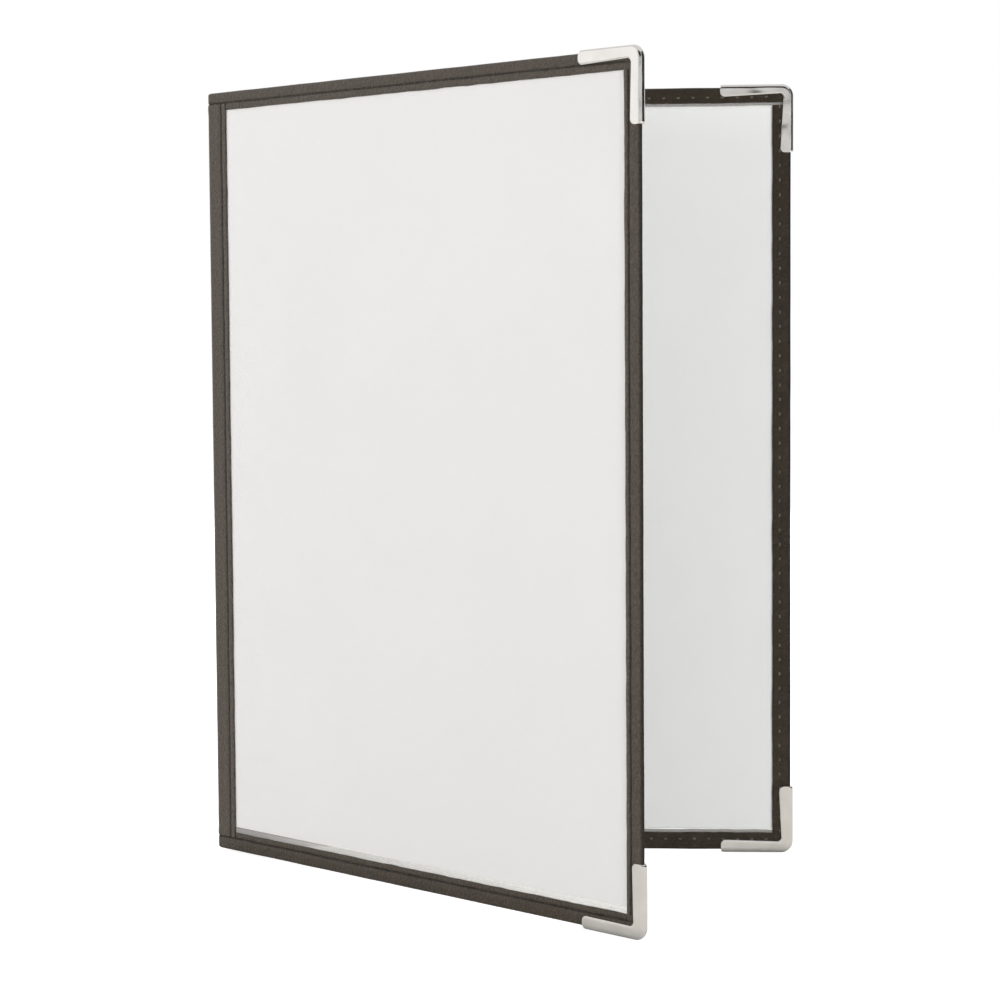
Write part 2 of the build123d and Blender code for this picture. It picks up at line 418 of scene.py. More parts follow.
def vinyl_material():
    """A clear sheet that turns milky by the attributes hazy and clouded, its milk darker by a painted shade."""
    material, add = node_material("clear_vinyl")
    spot = object_place(add)
    hazy, clouded, milk_lit = (attribute(add, name) for name in ("hazy", "clouded", "milk_lit"))
    clear = add("ShaderNodeBsdfTransparent", {
        "Color": ramp(add, hazy, (0.0, 0.975, 0.977, 0.972), (1.0, 0.95, 0.95, 0.94))})
    # The milk's colour is a painted shade, darker where the mesh says less light gets to it.
    milk = add("ShaderNodeBsdfDiffuse", {
        "Color": ramp(add, milk_lit, (0.0, 0.30, 0.297, 0.29), (1.0, 0.80, 0.79, 0.77))})
    body = add("ShaderNodeMixShader", {"Fac": clouded, 1: clear.outputs["BSDF"], 2: milk.outputs["BSDF"]})

    gloss = add("ShaderNodeBsdfGlossy", {
        "Color": (1.0, 1.0, 1.0, 1.0),
        "Roughness": ramp(add, noise(add, spot, 900.0, 2.0), (0.35, 0.30), (0.7, 0.40)),
        "Normal": bump(add, noise(add, spot, 28.0, 2.0), 0.25, 0.002),
    })
    slant = add("ShaderNodeFresnel", {"IOR": 1.45}).outputs["Fac"]
    outside = maths(add, "SUBTRACT", 1.0, add("ShaderNodeNewGeometry").outputs["Backfacing"])
    share = maths(add, "MULTIPLY", slant, outside)
    shader = add("ShaderNodeMixShader", {"Fac": share, 1: body.outputs["Shader"], 2: gloss.outputs["BSDF"]})
    return finish_material(material, add, shader)


vinyl = vinyl_material()

# %% [markdown]
# ## Paper
#
# The paper behind the vinyl is a plain white sheet, uncoated, with a faint fibre tone and hardly any gloss.
# Its white is well under 1, as real paper's is, so that it still shows shade in a bright studio.

# %% Paper


def paper_material():
    """White uncoated paper."""
    material, add = node_material("menu_paper")
    spot = object_place(add)
    fibre = noise(add, spot, 1400.0, 4.0)
    fine = ramp(add, fibre, (0.3, 0.855, 0.853, 0.854), (0.7, 0.885, 0.883, 0.885))
    soft = ramp(add, noise(add, spot, 22.0, 2.0), (0.3, 0.985), (0.7, 1.0))
    shader = add("ShaderNodeBsdfPrincipled", {
        "Base Color": mix_colours(add, 1.0, fine, soft, "MULTIPLY"), "Roughness": 0.72,
        "Normal": bump(add, fibre, 0.15, 0.00004), "Specular IOR Level": 0.25,
    })
    return finish_material(material, add, shader)


paper = paper_material()

# %% [markdown]
# ## Thread
#
# The thread is a bonded polyester with two plies. On the outer face it lies deep in its groove, and its colour
# is painted nearly as dark as the leatherette: the thread's own brown, darker by a painted shade of the groove.
# On the inner face only the short knots show, a little fuzzy, and their colour is painted lighter, a painted
# highlight for the gloss they catch. So the same thread is made twice, as a shaded and a lit copy.

# %% Thread


def thread_material(name, dark, light, fuzz):
    """Thread between two tones, with a fine fibre relief."""
    material, add = node_material(name)
    spot = object_place(add)
    shader = add("ShaderNodeBsdfPrincipled", {
        "Base Color": ramp(add, noise(add, spot, 160.0, 1.0), (0.3, *dark), (0.7, *light)), "Roughness": 0.5,
        "Normal": bump(add, noise(add, spot, 5000.0, 2.0), 0.5, 0.00006), "Sheen Weight": fuzz,
    })
    return finish_material(material, add, shader)


seam_thread = thread_material("seam_thread", (0.009, 0.0065, 0.005), (0.021, 0.016, 0.012), 0.0)
lit_knot_thread = thread_material("lit_knot_thread", (0.065, 0.060, 0.046), (0.125, 0.118, 0.092), 0.2)

# %% [markdown]
# ## Nickel
#
# The corners are pressed steel with bright nickel. Nickel is a little warmer than chrome, its fine scratches
# widen the reflections unevenly, and the thin metal is never quite flat after the press, which makes the
# reflections wave.

# %% Nickel


def nickel_material():
    """Bright nickel on thin pressed steel."""
    material, add = node_material("bright_nickel")
    spot = object_place(add)
    cloud = noise(add, spot, 120.0, 3.0)
    waves = bump(add, noise(add, spot, 120.0, 1.0), 0.6, 0.0007)
    shader = add("ShaderNodeBsdfPrincipled", {
        "Base Color": ramp(add, cloud, (0.3, 0.585, 0.567, 0.545), (0.7, 0.645, 0.627, 0.602)),
        "Metallic": 1.0, "Roughness": ramp(add, cloud, (0.3, 0.12), (0.7, 0.21)),
        "Normal": bump(add, noise(add, spot, 3200.0, 2.0), 0.12, 0.00003, waves),
    })
    return finish_material(material, add, shader)


nickel = nickel_material()

# %% [markdown]
# ## The tape's section
#
# Each panel has three tapes: one along the top, one along the bottom, and one along the free edge. A tape is
# folded in half round the edge, so its section is a narrow U with a rounded back. It could be a flat strip
# with a thickness modifier, but the lip and the rounded back are easier to draw once as a closed outline.
# Each point of it says how deep it is from the folded edge, at what level, and on which side it lies. What
# lies inside the fold is marked hidden, so that neither painted sheen nor painted shade gets on it.

# %% Tape section
OUTER, FOLD, INNER, OUTER_LIP, INNER_LIP, HIDDEN = 1, 0, -1, 2, -2, 3
fold_end = 0.95
lip_round = 0.16


def leg_depths(width, line):
    """Depths across one leg of the tape from its fold to its free edge, closer together near the seam."""
    last = width - 0.25
    return np.concatenate([
        np.linspace(fold_end, line - 1.0, 6, endpoint=False),
        np.linspace(line - 1.0, line + 1.0, 11, endpoint=False),
        np.linspace(line + 1.0, last, 4) if last > line + 1.05 else [last],
    ])


def fold_arc(first, last, count):
    """Depth and level round the folded edge, between two angles in degrees."""
    turns = np.radians(np.linspace(first, last, count))
    return [(half_tape * 0.98 * (1 - math.cos(t)), half_tape * math.sin(t)) for t in turns]


def tape_section(line, outer_width, inner_width):
    """A closed section: depth from the folded edge, level from the panel's middle, and side of each point."""
    rows = [(d, half_tape, OUTER) for d in leg_depths(outer_width, line)[::-1]]
    rows += [(d, level, FOLD) for d, level in fold_arc(90, -90, 13)[1:-1]]
    rows += [(d, -half_tape, INNER) for d in leg_depths(inner_width, line)]
    rows += [
        (inner_width - 0.06, -half_tape + 0.05, INNER_LIP),
        (inner_width, -half_tape + lip_round + 0.04, INNER_LIP),
        (inner_width, -half_stack, HIDDEN),
        (tape_thick + 0.35, -half_stack, HIDDEN),
        (tape_thick, -half_stack + 0.3, HIDDEN),
        (tape_thick, half_stack - 0.3, HIDDEN),
        (tape_thick + 0.35, half_stack, HIDDEN),
        (outer_width, half_stack, HIDDEN),
        (outer_width, half_tape - lip_round - 0.04, OUTER_LIP),
        (outer_width - 0.06, half_tape - 0.05, OUTER_LIP),
    ]
    return np.array(rows)


print("a tape's section has", len(tape_section(4.2, tape_width, tape_width)), "points")

# %% [markdown]
# ## The tape's surface
#
# The seam runs through both legs and presses a groove that is deepest at each needle hole, which makes the
# face puff up slightly on both sides of it. Rings of the section run along the edge, each pushed a little off
# true as a hand-fed tape is. All of this is in the mesh, so it holds its shadow from every side, and only the
# grain is left to the material. The same step works out each point's painted sheen, painted highlight and
# painted shade, and where it is lighter along the fold and in streaks. The seams along the ends are lit from
# above and get little painted shade, and the one along the side gets much and looks deep and dark.

# %% Tape surface
groove_depth, hole_reach, strip_press = 0.30, 0.55, 0.24
outer_face_sheen = {"top": 0.38, "bottom": 0.14, "side": 0.45, "spine": 0.45}
seam_shade = {"top": 0.45, "bottom": 0.50, "side": 1.4, "spine": 1.3}


def near_holes(u, holes):
    """1 at a needle hole, and 0 between them."""
    near = np.zeros(len(u))
    for hole in holes:
        near = np.maximum(near, hump(u, hole, hole_reach))
    return near


def tape_surface(section, u, line, holes, seed, edge, under_strip=None, fold_edge_shade=0.0, lip_highlight=0.1):
    """Depths, levels, lighter tone with painted sheen, and painted shade of a tape: one row for each station u,
    one column for each section point.
    """

    def drift(step, turn):
        """A slow random drift along the tape, as a column."""
        return wave(u, step, seed + turn)[:, None]

    depth, level, side = section.T
    d = np.repeat(depth[None, :], len(u), 0)
    n = np.repeat(level[None, :], len(u), 0)
    hole = near_holes(u, holes)[:, None]
    face = np.where(np.abs(side) == OUTER, np.sign(side), 0.0)
    leg = np.where(np.abs(side) >= OUTER, 1.0, 0.0)
    in_sight = side != HIDDEN

    # The groove along the seam, the puffs on both sides of it, and a slow ripple.
    seam = line + 0.10 * drift(9.0, 0)
    groove = (groove_depth + 0.04 * drift(1.7, 2) + 0.10 * hole) * hump(d, seam, 0.36 + 0.07 * drift(2.3, 1))
    puff = 0.075 * hump(d, seam - 1.7, 1.0) + 0.05 * hump(d, seam + 1.35, 0.7)
    ripple = 0.02 * drift(3.7, 3) * hump(d, 2.0, 1.6)
    n += face * (puff + ripple - groove * np.where(side < 0, 0.24, 1.0))
    # The free edge and the folded edge wander a little.
    d += (d > line + 0.9) * leg * (0.10 * drift(6.0, 4) + 0.04 * drift(1.9, 5))
    d += np.where(side == FOLD, 1.0, 0.0) * (0.05 + 0.05 * drift(11.0, 6))
    if under_strip is not None:
        reach, end = under_strip
        pressed = strip_press * (u < reach)[:, None] * np.clip((d - end + 0.55) / 0.5, 0, 1)
        n -= ((side > 0) & in_sight) * pressed

    # Painted sheen on the outer face, a painted highlight between the seam and the lip, and lighter along the
    # fold and in streaks.
    worn = outer_face_sheen[edge] * np.clip(level / half_tape, 0, 1) * in_sight + 0.05 * hump(d, 0.1, 0.7) * in_sight
    worn = worn + lip_highlight * hump(d, seam + 1.4, 0.6) * np.clip(face, 0, 1)
    worn = worn + 0.12 * np.clip(drift(2.9, 7), 0, 1) * leg
    # Painted shade: darker in the groove, on a fold that is turned from the light, and on the inner face, which
    # gets no sheen.
    dark = seam_shade[edge] + 0.30 * drift(1.3, 8) + 0.3 * hole
    sunk = dark * hump(d, seam, 0.44) * np.clip(face, 0, 1)
    sunk = sunk + fold_edge_shade * hump(d, 0.0, 0.62) * in_sight
    sunk = sunk + 0.35 * np.clip(-level / half_tape, 0, 1) * in_sight
    return d, n, np.clip(worn, 0, 1), np.clip(sunk, 0, 1)


print("groove", groove_depth, "mm deep, and the leatherette is", tape_thick, "mm thick")

# %% [markdown]
# ## The folded tapes
#
# The end tapes run from the spine to the free corner and turn in there, under the metal. At the spine they go
# under the strip, which presses them down. The side tape's two ends go under the end tapes. Its folded edge
# is turned away from the light and gets a painted shade, and between its seam and its lip it gets a strong
# painted highlight.

# %% Tapes
outer_leg = {"back": {"top": 7.0, "bottom": 7.8}, "front": {"top": 7.0, "bottom": 7.3}}
inner_leg = {"back": {"top": 6.0, "bottom": 6.8}, "front": {"top": 6.4, "bottom": 6.4}}
station_step, corner_step = 0.62, 0.25
turn_start, turn_radius = 218.0, 3.5
side_tape_end = 6.9


def stations(start, end, step):
    """Evenly spaced places along an edge."""
    return np.linspace(start, end, int(round((end - start) / step)) + 1)


def end_tape(panel, name, edge, inward, seed):
    """The tape along the top or the bottom, turned in at the free corner."""
    line = stitch_line[panel][name]
    section = tape_section(line, outer_leg[panel][name], inner_leg[panel][name])
    u = np.unique(np.concatenate([
        stations(0.04, turn_start, station_step), stations(turn_start, panel_width, corner_step)]))
    under = (wing_width[panel] + 0.5, strip_end[name])
    d, n, worn, sunk = tape_surface(section, u, line, needle_holes(*end_seam(panel)), seed, name, under)
    x = np.clip(u - (panel_width - turn_radius), 0, turn_radius - 0.02)
    pulled = turn_radius - np.sqrt(turn_radius ** 2 - x ** 2)
    d = d + pulled[:, None] * np.clip(1 - d / tape_width, 0, 1)
    points = place(panel, u[:, None], middle + n, edge + inward * d)
    return new_piece(f"{panel}_{name}_binding", points, ring_faces(*d.shape), worn=worn, sunk=sunk)


def side_tape(panel, seed):
    """The tape along the free edge, whose ends go under the end tapes."""
    line = stitch_line[panel]["side"]
    section = tape_section(line, tape_width, tape_width)
    u = stations(side_tape_end, panel_height - side_tape_end, station_step)
    holes = needle_holes(*side_seam(panel))
    d, n, worn, sunk = tape_surface(section, u, line, holes, seed, "side", fold_edge_shade=1.5, lip_highlight=0.5)
    points = place(panel, panel_width - d, middle + n, u[:, None])
    return new_piece(f"{panel}_side_binding", points, ring_faces(*d.shape), worn=worn, sunk=sunk)


tapes = {}
for index, panel in enumerate(panels):
    seed = 100 * index
    tapes[panel, "top"] = end_tape(panel, "top", panel_height, -1, seed + 10)
    tapes[panel, "bottom"] = end_tape(panel, "bottom", 0.0, 1, seed + 30)
    tapes[panel, "side"] = side_tape(panel, seed + 50)
for (panel, name), piece in tapes.items():
    piece.data.materials.append(leatherette)
    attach(piece, panels[panel]["body"])
    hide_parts(f"{panel}_{name}_tape")
    print(piece.name, triangles(piece), "triangles")

# %% [markdown]
# ## Round the spine
#
# One leatherette strip is sewn to the outer faces of both panels and bends round their edges: it is the
# hinge. A path round the spine makes such pieces easy to draw. It counts millimetres on the back panel below
# 0 and on the front panel above 1, and goes round the hinge line from 0 to 1.

# %% Round the spine
turn_angle = math.pi - opening


def round_spine(path, level, z):
    """Points round the spine in metres, with one level and one z, or a row of them, for each step."""
    level, z = np.broadcast_arrays(level, z)
    rows = []
    for t, n, height in zip(path, level, z):
        if t < 0:
            rows.append(place("back", -t, n, height))
        elif t > 1:
            rows.append(place("front", t - 1, n, height))
        else:
            x = hinge_x - n * math.sin(t * turn_angle)
            y = hinge_y + n * math.cos(t * turn_angle)
            rows.append(np.stack([x, y, height + proud], -1) * MM)
    return np.array(rows)


def bend_with_spine(piece):
    """Gives the piece the leatherette and bakes its place into its mesh."""
    piece.data.materials.append(leatherette)
    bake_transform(piece)


print("the strip turns", round(math.degrees(turn_angle), 1), "degrees round the spine")

# %% [markdown]
# ## The spine strip
#
# The strip is one piece from wing to wing, so it is one mesh that replaces three solids. Its rings run across
# it and are stepped from the bottom to the top. Where it climbs on the end tapes it stands a little higher,
# its two cut ends are pressed down, and a row of stitches presses a groove into each wing, darkened by a
# painted shade. Its outer face gets a painted sheen, with a painted highlight beside each seam.

# %% Spine strip
over_end_tapes, tucked_end = 0.11, 0.10


def wing_steps(reach):
    """Places across a wing, from its free edge to the fold."""
    return np.concatenate([np.linspace(reach, reach - 0.3, 3)[:-1], np.linspace(reach - 0.3, 0.05, 30)])


def spine_strip():
    """The spine's strip: rings across it, stepped from the bottom to the top."""
    fold = np.linspace(0, 1, 25)
    path = np.concatenate([-wing_steps(wing_width["back"]), fold, 1 + wing_steps(wing_width["front"])[::-1]])
    width = np.where(path < 0, -path, np.where(path > 1, path - 1, 0.0))
    outward = np.where(path < 0, -1.0, np.where(path > 1, 1.0, 0.0))
    line = np.where(path < 0.5, wing_line["back"], wing_line["front"])
    reach = np.where(path < 0.5, wing_width["back"], wing_width["front"])
    z = stations(strip_end["bottom"], panel_height - strip_end["top"], 0.72)
    near_hole = near_holes(z, needle_holes(*wing_seam()))
    rings, worns, sunks = [], [], []
    for k, height in enumerate(z):
        from_end = min(height, panel_height - height)
        over_tape = over_end_tapes * (1 - np.clip((from_end - tape_width) / 1.6, 0, 1))
        over_tape = over_tape - tucked_end * (k in (0, len(z) - 1))
        seam = line + 0.10 * wave(height, 9.0, 71)
        groove = (0.27 + 0.04 * wave(height, 1.7, 72) + 0.10 * near_hole[k]) * hump(width, seam, 0.38)
        puff = 0.06 * hump(width, seam - 1.9, 1.1) + 0.05 * hump(width, seam + 1.3, 0.7)
        edge_down = 0.12 * np.clip((width - (reach - 0.25)) / 0.25, 0, 1) ** 2
        crease = 0.02 * wave(height, 5.0, 73) * hump(width, 0.0, 1.5)
        outer = outer_level + over_tape + puff - groove - edge_down + crease
        under = np.full(len(path), outer_level - tape_thick + 0.02 + over_tape)
        free = (width > line + 0.9) * (0.09 * wave(height, 6.0, 74) + 0.03 * wave(height, 1.9, 75))
        moved = path + outward * free
        top = round_spine(moved, outer, np.full(len(path), height))
        bottom = round_spine(moved[::-1], under, np.full(len(path), height))
        rings.append(np.concatenate([top, bottom]))
        # Painted sheen on the outer face and a painted highlight beside the seam, lighter on the fold, and
        # painted shade in the groove.
        worn = outer_face_sheen["spine"] + 0.30 * hump(width, seam + 1.4, 0.6) + 0.10 * (outward == 0)
        dark = seam_shade["spine"] + 0.30 * wave(height, 1.3, 78) + 0.3 * near_hole[k]
        sunk = np.clip(dark * hump(width, seam, 0.44), 0, 1)
        worns.append(np.concatenate([worn, 0 * worn]))
        sunks.append(np.concatenate([sunk, 0 * sunk]))
    rings = np.array(rings)
    faces = ring_faces(*rings.shape[:2])
    return new_piece("spine_strip", rings, faces, worn=np.clip(worns, 0, 1), sunk=np.clip(sunks, 0, 1))


spine = spine_strip()
bend_with_spine(spine)
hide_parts("back_spine_wing", "front_spine_wing", "spine_fold")
print(spine.name, triangles(spine), "triangles")

# %% [markdown]
# ## The tapes' folds
#
# The top tape and the bottom tape run on round the spine's ends. Their two legs lie at different distances
# from the hinge, so they bend by different amounts, and one mesh for both would shear. So each fold is made
# of an outer leaf under the strip and an inner leaf, and each leaf bends at its own radius.

# %% Tapes' folds
inner_leaf_width = 6.4


def fold_leaf(end, edge, inward, outer_leaf, seed):
    """One leaf of the top or bottom tape where it bends round the spine."""
    reach = tape_width if outer_leaf else inner_leaf_width
    depths = np.concatenate([np.linspace(fold_end, reach - 0.2, 22), [reach - 0.05, reach]])
    if outer_leaf:
        pressed = strip_press * np.clip((depths - strip_end[end] + 0.55) / 0.5, 0, 1)
        skin = [(d, half_tape - down) for d, down in zip(depths[:-1], pressed)]
    else:
        skin = [(d, half_tape) for d in depths[:-2]]
        skin += [(depths[-2], half_tape - 0.05), (depths[-1], half_tape - 0.2)]
    skin += [(reach, half_stack), (tape_thick + 0.3, half_stack)]
    arc = [(d + 0.13, level) for d, level in fold_arc(0, 90, 7)[:-1]]
    section = np.array([(tape_thick, half_stack - 0.35), (tape_thick, 0.0)] + arc + skin)
    depth, level = section[:, 0], section[:, 1] * (1 if outer_leaf else -1)
    on_face = np.abs(level) > half_stack + 0.2
    path = np.concatenate([[-0.045], np.linspace(0, 1, 29), [1.045]])
    rings, sunk = [], []
    for t in path:
        line = np.interp(t, [0, 1], [stitch_line["back"][end], stitch_line["front"][end]])
        groove = (0.15 * hump(depth, line, 0.36) + 0.03 * wave(60 * t, 4.0, seed)) * on_face
        height = edge + inward * depth
        sewn = middle + level - np.sign(level) * groove
        rings.append(round_spine([t], sewn[None, :], height[None, :])[0])
        # Painted shade in the groove of the outer leaf.
        sunk.append(0.9 * hump(depth, line, 0.40) * on_face * (level > 0))
    rings = np.array(rings)
    # Lighter along the fold, and a painted sheen on the outer leaf's face.
    worn = 0.10 * hump(depth, 0.1, 0.8) + outer_face_sheen[end] * np.clip(level / half_tape, 0, 1)
    worn = np.repeat(worn[None, :], len(path), 0)
    name = f"{end}_binding_fold_{'outer' if outer_leaf else 'inner'}"
    return new_piece(name, rings, ring_faces(*rings.shape[:2]), worn=worn, sunk=sunk)


for name, edge, inward in (("top", panel_height, -1), ("bottom", 0.0, 1)):
    outer = fold_leaf(name, edge, inward, True, 81)
    inner = fold_leaf(name, edge, inward, False, 82)
    bend_with_spine(outer)
    bend_with_spine(inner)
    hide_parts(f"{name}_tape_fold")
    print(outer.name, triangles(outer), "and", inner.name, triangles(inner), "triangles")

# %% [markdown]
# ## One stitch, in geometry nodes
#
# A sewing machine repeats one stitch at one pitch, which is what geometry nodes are good at. The tree takes
# one point for each stitch, which knows its direction and which way is up, and puts a short length of thread
# of two twisted plies there, whose ends dive into the needle holes. A seeded wobble keeps it from looking
# printed. Its sizes are named inputs, so the long outer stitches and the short inner knots share one tree.

# %% Stitch tree
ply_swing, ply_radius, dive_power = 0.21, 0.29, 6.0


def stitch_tree():
    """A geometry node group that sews one two-ply stitch on each point."""
    tree = bpy.data.node_groups.new("sewn_stitches", "GeometryNodeTree")
    face = tree.interface
    face.new_socket("Geometry", in_out="INPUT", socket_type="NodeSocketGeometry")
    lengths = (("Stitch Length", 0.0046), ("Thread Width", 0.0005), ("Dive", 0.0003), ("Turns", 2.5))
    for name, value in lengths:
        socket = face.new_socket(name, in_out="INPUT", socket_type="NodeSocketFloat")
        socket.default_value = value
    for name, value in (("Segments", 18), ("Seed", 3)):
        socket = face.new_socket(name, in_out="INPUT", socket_type="NodeSocketInt")
        socket.default_value = value
    face.new_socket("Material", in_out="INPUT", socket_type="NodeSocketMaterial")
    face.new_socket("Geometry", in_out="OUTPUT", socket_type="NodeSocketGeometry")
    add = node_adder(tree)
    given = add("NodeGroupInput").outputs
    stitch = one_stitch(tree, add, given)
    sewn = on_each_point(add, given, stitch)
    real = add("GeometryNodeRealizeInstances", {"Geometry": sewn.outputs["Instances"]})
    dyed = add("GeometryNodeSetMaterial", {
        "Geometry": real.outputs["Geometry"], "Material": given["Material"]})
    smooth = add("GeometryNodeSetShadeSmooth", {"Geometry": dyed.outputs["Geometry"]})
    add("NodeGroupOutput", {"Geometry": smooth.outputs["Geometry"]})
    return tree


def one_stitch(tree, add, given):
    """Two plies that twist round each other along X and dive at both ends."""
    half = maths(add, "MULTIPLY", given["Stitch Length"], 0.5)
    begin = add("ShaderNodeCombineXYZ", {"X": maths(add, "MULTIPLY", half, -1.0)})
    last = add("ShaderNodeCombineXYZ", {"X": half})
    line = add("GeometryNodeCurvePrimitiveLine", {"Start": begin.outputs[0], "End": last.outputs[0]})
    points = add("GeometryNodeResampleCurve", {"Curve": line.outputs["Curve"], "Count": given["Segments"]})
    along = add("GeometryNodeSplineParameter").outputs["Factor"]
    angle = maths(add, "MULTIPLY", maths(add, "MULTIPLY", along, given["Turns"]), 2 * math.pi)
    centred = maths(add, "SUBTRACT", maths(add, "MULTIPLY", along, 2.0), 1.0)
    steep = maths(add, "POWER", maths(add, "ABSOLUTE", centred), dive_power)
    sink = maths(add, "MULTIPLY", maths(add, "MULTIPLY", steep, given["Dive"]), -1.0)
    swing = maths(add, "MULTIPLY", given["Thread Width"], ply_swing)
    radius = maths(add, "MULTIPLY", given["Thread Width"], ply_radius)
    ring = add("GeometryNodeCurvePrimitiveCircle", {"Resolution": 6, "Radius": radius})
    both = add("GeometryNodeJoinGeometry")
    for phase in (0.0, math.pi):
        turned = maths(add, "ADD", angle, phase)
        sideways = maths(add, "MULTIPLY", maths(add, "COSINE", turned), swing)
        upward = maths(add, "ADD", maths(add, "MULTIPLY", maths(add, "SINE", turned), swing), sink)
        offset = add("ShaderNodeCombineXYZ", {"Y": sideways, "Z": upward})
        ply = add("GeometryNodeSetPosition", {
            "Geometry": points.outputs["Curve"], "Offset": offset.outputs[0]})
        swept = add("GeometryNodeCurveToMesh", {
            "Curve": ply.outputs["Geometry"], "Profile Curve": ring.outputs["Curve"], "Fill Caps": True})
        tree.links.new(swept.outputs["Mesh"], both.inputs["Geometry"])
    return both


def on_each_point(add, given, stitch):
    """The stitch on each point, turned along the seam, with a small wobble in its turn and its size."""
    direction = add("GeometryNodeInputNamedAttribute", {"Name": "along"}, data_type="FLOAT_VECTOR")
    upward = add("GeometryNodeInputNamedAttribute", {"Name": "outward"}, data_type="FLOAT_VECTOR")
    turn = add("FunctionNodeAxesToRotation", {
        "Primary Axis": direction.outputs["Attribute"], "Secondary Axis": upward.outputs["Attribute"],
    }, primary_axis="X", secondary_axis="Z")
    tilt = add("FunctionNodeRandomValue", {
        0: (-0.10, -0.02, -0.05), 1: (0.10, 0.02, 0.05), "Seed": given["Seed"]}, data_type="FLOAT_VECTOR")
    tilted = add("FunctionNodeEulerToRotation", {0: tilt.outputs[0]})
    both = add("FunctionNodeRotateRotation", {
        0: turn.outputs[0], 1: tilted.outputs[0]}, rotation_space="LOCAL")
    size = add("FunctionNodeRandomValue", {
        0: (0.93, 0.92, 0.94), 1: (1.04, 1.08, 1.06), "Seed": given["Seed"]}, data_type="FLOAT_VECTOR")
    return add("GeometryNodeInstanceOnPoints", {
        "Points": given["Geometry"], "Instance": stitch.outputs["Geometry"],
        "Rotation": both.outputs[0], "Scale": size.outputs[0]})


sewing = stitch_tree()
print("the stitch tree has", len(sewing.nodes), "nodes")

# %% [markdown]
# ## Sewing
#
# The tree works on an object that has only points. A modifier on that object gets its inputs by the sockets'
# identifiers, the result is turned into a plain mesh, and the carrier is thrown away. On the outer face a
# stitch is nearly as long as the pitch and lies deep in the groove. On the inner face the thread shows only
# as a short knot at each stitch.

# %% Sewing


def sew(spots, along, outward, inputs):
    """The plain mesh of the stitches on the spots."""
    mesh = bpy.data.meshes.new("spots")
    mesh.from_pydata([tuple(p) for p in spots], [], [])
    for name, vectors in (("along", along), ("outward", outward)):
        layer = mesh.attributes.new(name, "FLOAT_VECTOR", "POINT")
        layer.data.foreach_set("vector", np.asarray(vectors, np.float32).ravel())
    carrier = bpy.data.objects.new("carrier", mesh)
    bpy.context.scene.collection.objects.link(carrier)
    modifier = carrier.modifiers.new("sewing", "NODES")
    modifier.node_group = sewing
    sockets = {i.name: i.identifier for i in sewing.interface.items_tree if i.in_out == "INPUT"}
    for name, value in inputs.items():
        modifier[sockets[name]] = value
    bpy.context.view_layer.update()
    evaluated = carrier.evaluated_get(bpy.context.evaluated_depsgraph_get())
    result = bpy.data.meshes.new_from_object(evaluated)
    carrier.modifiers.clear()
    bpy.data.objects.remove(carrier)
    return result


long_stitch = {"Stitch Length": 0.0046, "Thread Width": 0.0005, "Dive": 0.00030, "Turns": 3.0, "Segments": 20}
short_knot = {"Stitch Length": 0.0011, "Thread Width": 0.0008, "Dive": 0.00012, "Turns": 0.75, "Segments": 9}
stitch_kinds = (
    {"side": 1, "sunk": 0.23, "raised": 0.0, "sizes": long_stitch, "material": seam_thread},
    {"side": -1, "sunk": 0.12, "raised": 0.35, "sizes": short_knot, "material": lit_knot_thread},
)


def face_stitches(panel, kind, seed):
    """The stitches on one face of a panel: along both ends, along the free side and, outside, on the wing."""
    lines = stitch_line[panel]
    side = kind["side"]
    level = middle + side * (half_tape - kind["sunk"])
    along = np.array([*panels[panel]["along"], 0.0])
    up = np.array([0.0, 0.0, 1.0])
    ends = stitch_middles(*end_seam(panel))
    spots, heads = [], []
    for height in (lines["bottom"], panel_height - lines["top"] + kind["raised"]):
        spots.append(place(panel, ends, level, height + 0.08 * wave(ends, 9.0, seed)))
        heads.append(np.repeat(along[None, :], len(ends), 0))
    rows = [(stitch_middles(*side_seam(panel)), panel_width - lines["side"], seed + 1)]
    if side > 0:
        rows.append((stitch_middles(*wing_seam()), wing_line[panel], seed + 2))
    for heights, across, row_seed in rows:
        spots.append(place(panel, across + 0.08 * wave(heights, 9.0, row_seed), level, heights))
        heads.append(np.repeat(up[None, :], len(heights), 0))
    spots, heads = np.concatenate(spots), np.concatenate(heads)
    outward = np.repeat(side * np.array([[*panels[panel]["out"], 0.0]]), len(spots), 0)
    return sew(spots, heads, outward, {**kind["sizes"], "Seed": seed + side, "Material": kind["material"]})


def panel_stitches(panel, seed):
    """All the stitches of a panel as one piece with two threads."""
    work = bmesh.new()
    joined = bpy.data.meshes.new(f"{panel}_stitches")
    for index, mesh in enumerate([face_stitches(panel, kind, seed) for kind in stitch_kinds]):
        first = len(work.faces)
        work.from_mesh(mesh)
        work.faces.ensure_lookup_table()
        for face in work.faces[first:]:
            face.material_index = index
    work.to_mesh(joined)
    work.free()
    for kind in stitch_kinds:
        joined.materials.append(kind["material"])
    piece = bpy.data.objects.new(f"{panel}_stitches", joined)
    bpy.context.scene.collection.objects.link(piece)
    return piece


rows = [f"{edge}_{face}_stitches" for edge in ("top", "side", "bottom") for face in ("outer", "inner")]
for index, panel in enumerate(panels):
    piece = panel_stitches(panel, 7 + 10 * index)
    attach(piece, panels[panel]["body"])
    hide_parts(*(f"{panel}_{row}" for row in rows + ["spine_stitches"]))
    print(piece.name, triangles(piece), "triangles")

# %% [markdown]
# ## Windows
#
# A window is a sheet of clear vinyl, sewn into the tapes' folds. It is soft, so it never lies quite flat:
# it swells a little between the seams. A grid of points, closer together at the edges, is lifted by that
# swell, and its two free corners are rounded to stay inside the metal. The sheet keeps just off the card,
# because two surfaces at the same place would flicker. The grid also carries where the vinyl is milky:
# above, below and beside the card. On the front panel there is more milk towards the spine, and it is
# painted greyer there, a painted shade of the corner between the panels.

